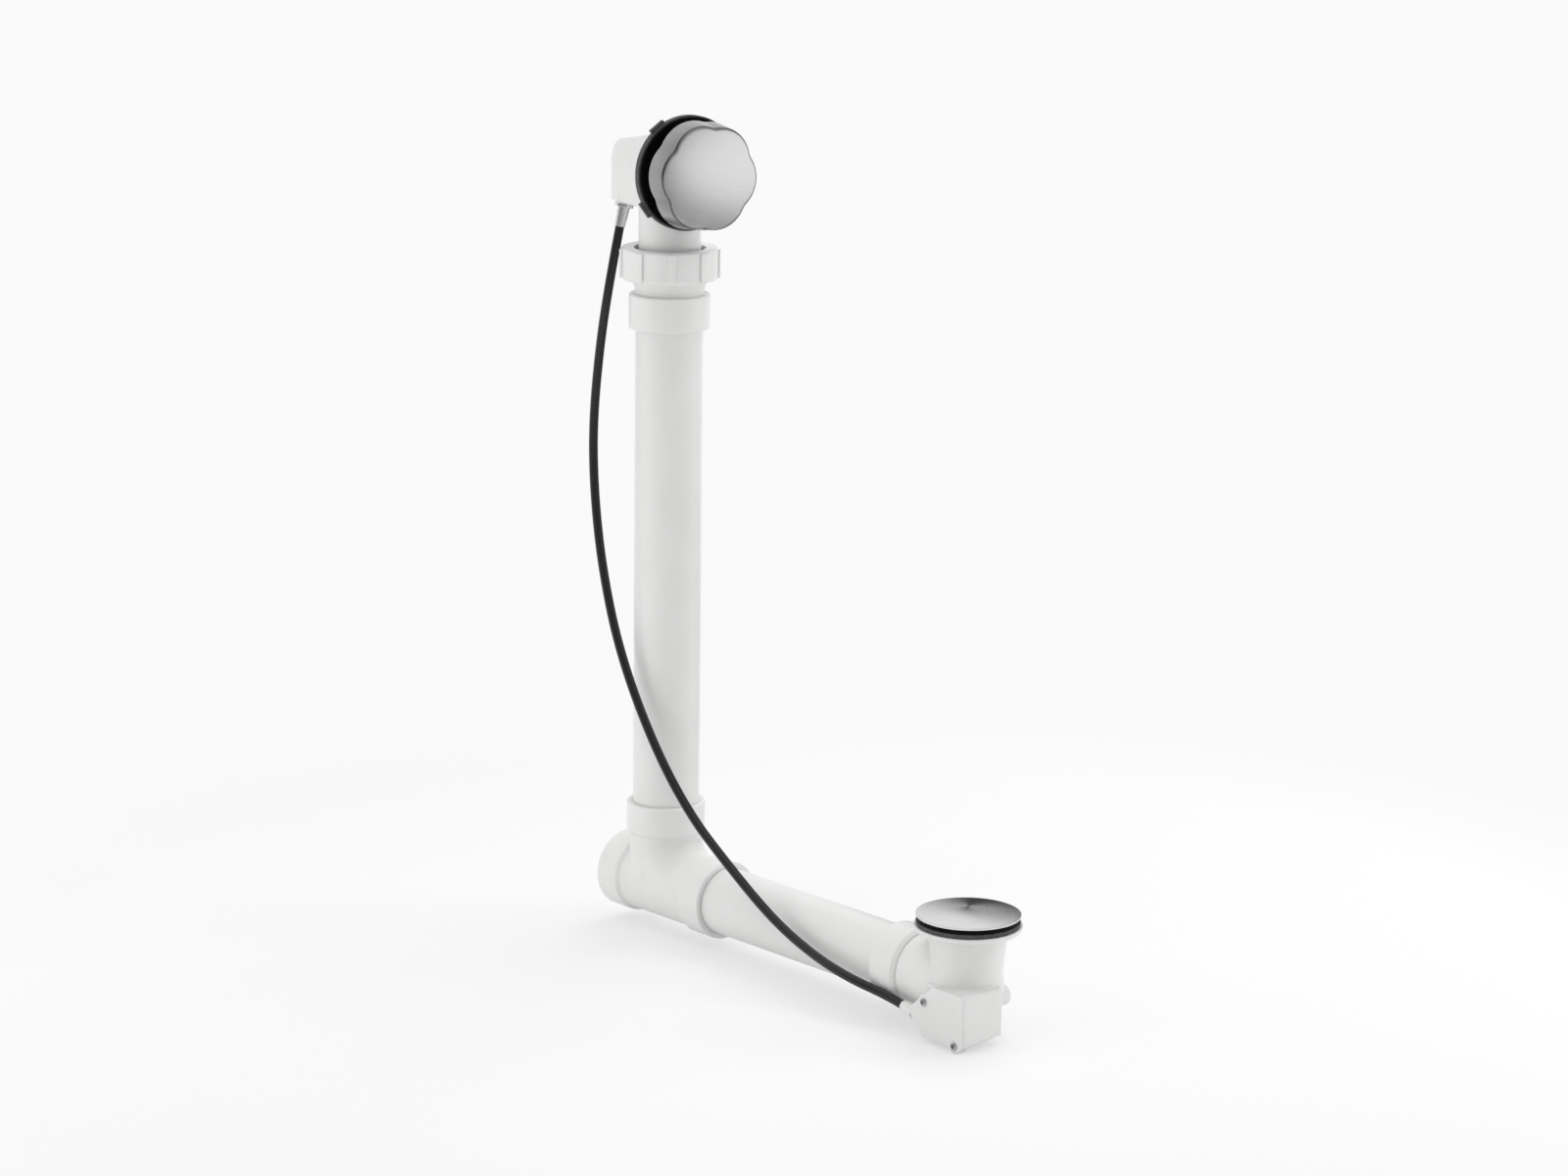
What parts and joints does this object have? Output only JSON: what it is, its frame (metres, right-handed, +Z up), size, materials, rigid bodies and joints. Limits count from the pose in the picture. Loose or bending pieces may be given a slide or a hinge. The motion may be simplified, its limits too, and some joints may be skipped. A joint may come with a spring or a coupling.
{
  "type": "bath waste and overflow",
  "caption": "Cable-operated bath waste and overflow: scalloped knob and overflow head, pipes and swept tee, and a drain shoe whose linkage lifts a domed stopper.",
  "frame": {"origin": "drain axis on the bath floor's seat, the top of the shoe's gasket", "axes": "+Z up; +X from the overflow pipe towards the drain; -Y is the cable's side"},
  "size_m": [0.4042, 0.0851, 0.5984],
  "materials": {
    "white_plastic": "smooth moulded white plastic",
    "brushed_nickel": "brushed nickel",
    "plated_metal": "bright plated metal",
    "screw_steel": "bright screw steel",
    "shaft_steel": "drawn stainless steel",
    "brass": "turned brass",
    "gasket_rubber": "dark grey rubber",
    "seal_rubber": "black rubber",
    "black_plastic": "matt black plastic",
    "cable_plastic": "satin black vinyl",
    "slide_plastic": "pale acetal"
  },
  "bodies": {
    "root": {"cable_ferrule": "plated_metal", "cable_nipple": "white_plastic", "cable_sheath": "cable_plastic", "cover_screws": "screw_steel", "drain_shoe": "white_plastic", "head_side_cover": "white_plastic", "overflow_gasket": "gasket_rubber", "overflow_head": "white_plastic", "overflow_pipe": "white_plastic", "overflow_plate": "black_plastic", "plate_screws": "screw_steel", "shoe_cover": "white_plastic", "shoe_gasket": "gasket_rubber", "slip_adapter": "white_plastic", "slip_nut": "white_plastic", "slip_washer": "seal_rubber", "spindle_seal": "seal_rubber", "strainer": "brushed_nickel", "tee": "white_plastic", "waste_pipe": "white_plastic"},
    "knob": {"knob": "brushed_nickel", "knob_set_screw": "screw_steel", "spindle": "brass", "head_crank": "shaft_steel"},
    "head_slider": {"slider": "slide_plastic", "upper_wire": "shaft_steel"},
    "plunger": {"plunger": "slide_plastic", "lower_wire": "shaft_steel"},
    "lift": {"cross_shaft": "shaft_steel", "shoe_crank": "shaft_steel", "lift_arm": "shaft_steel"},
    "stopper": {"stopper_cap": "brushed_nickel", "stopper_seal": "seal_rubber", "stopper_stem": "brass"}
  },
  "joints": [
    {"name": "knob_turn", "type": "hinge", "parent": "root", "child": "knob", "pos_m": [-0.3154, 0, 0.4758], "axis": [-0.9799, 0.1994, 0], "range_deg": [0, 60]},
    {"name": "slider_slide", "type": "slide", "parent": "root", "child": "head_slider", "axis": [0.0465, 0.2288, 0.9724], "range_m": [0, 0.01361]},
    {"name": "plunger_slide", "type": "slide", "parent": "root", "child": "plunger", "axis": [-0.9816, 0, 0.1908], "range_m": [0, 0.01361]},
    {"name": "lift_turn", "type": "hinge", "parent": "root", "child": "lift", "pos_m": [0.00937, 0, -0.056], "axis": [0, 1, 0], "range_deg": [0, 71.01]},
    {"name": "stopper_lift", "type": "slide", "parent": "root", "child": "stopper", "axis": [0, 0, 1], "range_m": [0, 0.01151]}
  ],
  "couplings": [
    {"joint": "slider_slide", "follows": "knob_turn", "m_per_rad": 0.012987},
    {"joint": "plunger_slide", "follows": "knob_turn", "m_per_rad": 0.012987},
    {"joint": "lift_turn", "follows": "knob_turn", "ratio": 1.1833},
    {"joint": "stopper_lift", "follows": "knob_turn", "m_per_rad": 0.010982}
  ]
}
